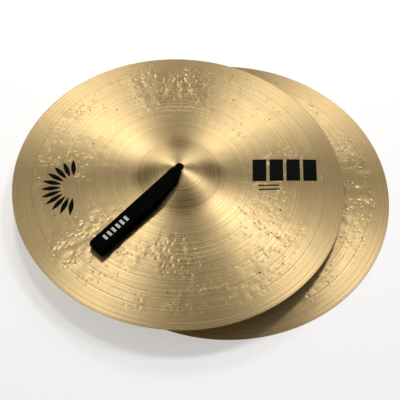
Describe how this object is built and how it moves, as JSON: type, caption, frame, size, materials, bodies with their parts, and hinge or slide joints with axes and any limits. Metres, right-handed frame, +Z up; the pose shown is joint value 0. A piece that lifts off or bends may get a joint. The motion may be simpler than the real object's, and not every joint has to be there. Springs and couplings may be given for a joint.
{
  "type": "hand cymbals",
  "caption": "Pair of orchestral hand cymbals, one lying offset on the other, each with a leather hand strap looped over its bell and laced through its hole.",
  "frame": {"origin": "bottom centre of the bounding box of the pair as it lies", "axes": "+Z up from the surface that the lower cymbal's rim rests on; +X from the upper cymbal towards the uncovered side of the lower one, which is the pair's long direction; +Y away from the free end of the upper strap"},
  "size_m": [0.5512, 0.488, 0.0845],
  "materials": {
    "bronze": "lathed and hammered bronze, brushed in rings",
    "leather": "black strap leather, fine grain, slightly waxed"
  },
  "bodies": {
    "lower_cymbal": {"lower_cymbal": "bronze"},
    "lower_knot": {"lower_lace_1": "leather", "lower_lace_2": "leather", "lower_lace_3": "leather", "lower_lace_4": "leather"},
    "lower_strap": {"lower_strap_handle": "leather"},
    "upper_cymbal": {"upper_cymbal": "bronze"},
    "upper_knot": {"upper_lace_1": "leather", "upper_lace_2": "leather", "upper_lace_3": "leather", "upper_lace_4": "leather"},
    "upper_strap": {"upper_strap_handle": "leather"}
  },
  "joints": [
    {"name": "upper_lift", "type": "slide", "parent": "lower_cymbal", "child": "upper_cymbal", "axis": [0, 0, 1], "range_m": [0, 0.4]},
    {"name": "upper_strap_swivel", "type": "hinge", "parent": "upper_cymbal", "child": "upper_knot", "pos_m": [-0.03314, -0.00139, 0.07888], "axis": [0.0262, 0.0284, 0.9993], "continuous": true},
    {"name": "upper_strap_raise", "type": "hinge", "parent": "upper_knot", "child": "upper_strap", "pos_m": [-0.03306, -0.00131, 0.08183], "axis": [-0.7157, 0.6984, -0.0011], "range_deg": [0, 170]},
    {"name": "lower_strap_swivel", "type": "hinge", "parent": "lower_cymbal", "child": "lower_knot", "pos_m": [0.03431, 0.00265, 0.0477], "axis": [0, 0, 1], "range_deg": [-10, 10]},
    {"name": "lower_strap_raise", "type": "hinge", "parent": "lower_knot", "child": "lower_strap", "pos_m": [0.03431, 0.00265, 0.05065], "axis": [-0.342, 0.9397, 0], "range_deg": [0, 85]}
  ],
  "couplings": [
    {"joint": "lower_strap_raise", "follows": "upper_lift", "rad_per_m": 3.7}
  ]
}
